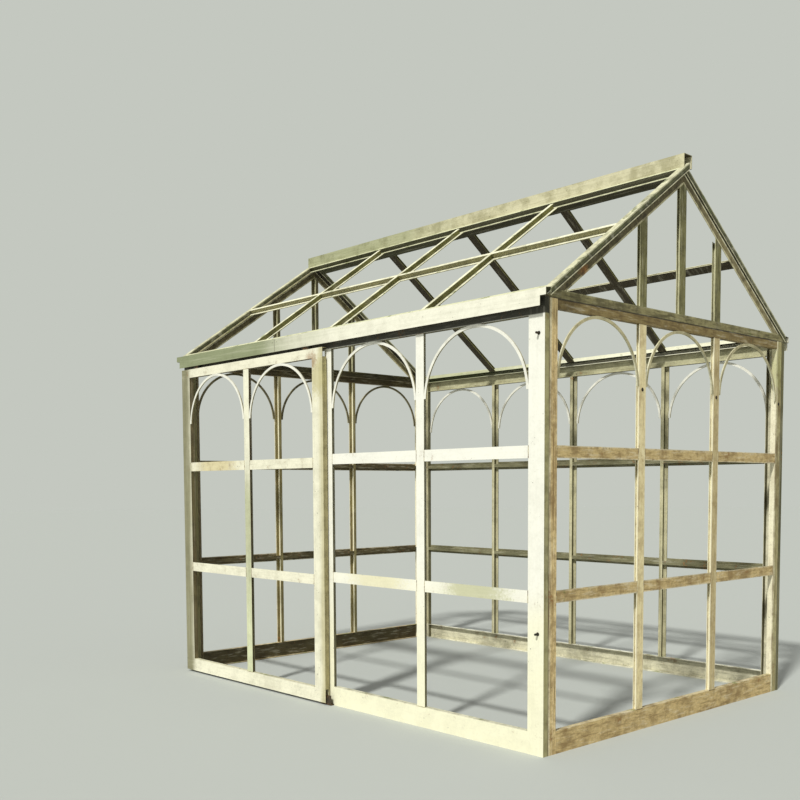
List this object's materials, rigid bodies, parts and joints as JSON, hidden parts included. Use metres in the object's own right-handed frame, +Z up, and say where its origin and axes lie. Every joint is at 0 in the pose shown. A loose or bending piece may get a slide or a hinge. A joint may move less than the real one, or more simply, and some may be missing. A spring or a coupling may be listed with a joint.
{
  "type": "greenhouse frame, unglazed",
  "caption": "Old metal greenhouse frame with arched bay heads, a pitched roof of bars and a sliding front leaf; it carries no panes.",
  "frame": {"origin": "on the ground at the middle of the plan", "axes": "+X along the front wall towards its fixed half, -Y out of the front, +Z up"},
  "size_m": [3.506, 2.532, 3.2369],
  "materials": {
    "wall_paint": "weathered cream paint with lichen and rust",
    "leaf_paint": "weathered cream paint, cleaner than the walls",
    "roof_paint": "weathered cream paint, green with moss",
    "arch_paint": "chalky cream paint on bent flat bar",
    "runner_steel": "dull bare steel, browned with rust"
  },
  "bodies": {
    "frame": {"back_arches": "arch_paint", "back_corner_posts": "wall_paint", "back_cross_rails": "wall_paint", "back_end_rails": "wall_paint", "back_mullions": "wall_paint", "eave_fascias": "roof_paint", "front_arches": "arch_paint", "front_centre_post": "wall_paint", "front_corner_posts": "wall_paint", "front_cross_rails": "wall_paint", "front_end_rails": "wall_paint", "front_mullion": "wall_paint", "leaf_floor_guide": "runner_steel", "leaf_rail": "runner_steel", "leaf_stops": "runner_steel", "left_gable_arches": "arch_paint", "left_gable_cross_rails": "wall_paint", "left_gable_end_rails": "wall_paint", "left_gable_mullions": "wall_paint", "left_gable_posts": "wall_paint", "left_peak_bars": "roof_paint", "left_peak_base": "roof_paint", "left_peak_slopes": "roof_paint", "ridge_cap": "roof_paint", "right_gable_arches": "arch_paint", "right_gable_cross_rails": "wall_paint", "right_gable_end_rails": "wall_paint", "right_gable_mullions": "wall_paint", "right_gable_posts": "wall_paint", "right_peak_bars": "roof_paint", "right_peak_base": "roof_paint", "right_peak_slopes": "roof_paint", "roof_end_rails": "roof_paint", "roof_purlins": "roof_paint", "roof_rafters": "roof_paint", "roof_verges": "roof_paint"},
    "leaf": {"leaf_arches": "arch_paint", "leaf_cross_rails": "leaf_paint", "leaf_end_rails": "leaf_paint", "leaf_hangers": "runner_steel", "leaf_mullion": "leaf_paint", "leaf_posts": "leaf_paint"}
  },
  "joints": [
    {"name": "leaf_slide", "type": "slide", "parent": "frame", "child": "leaf", "axis": [1, 0, 0], "range_m": [0, 1.671]}
  ]
}
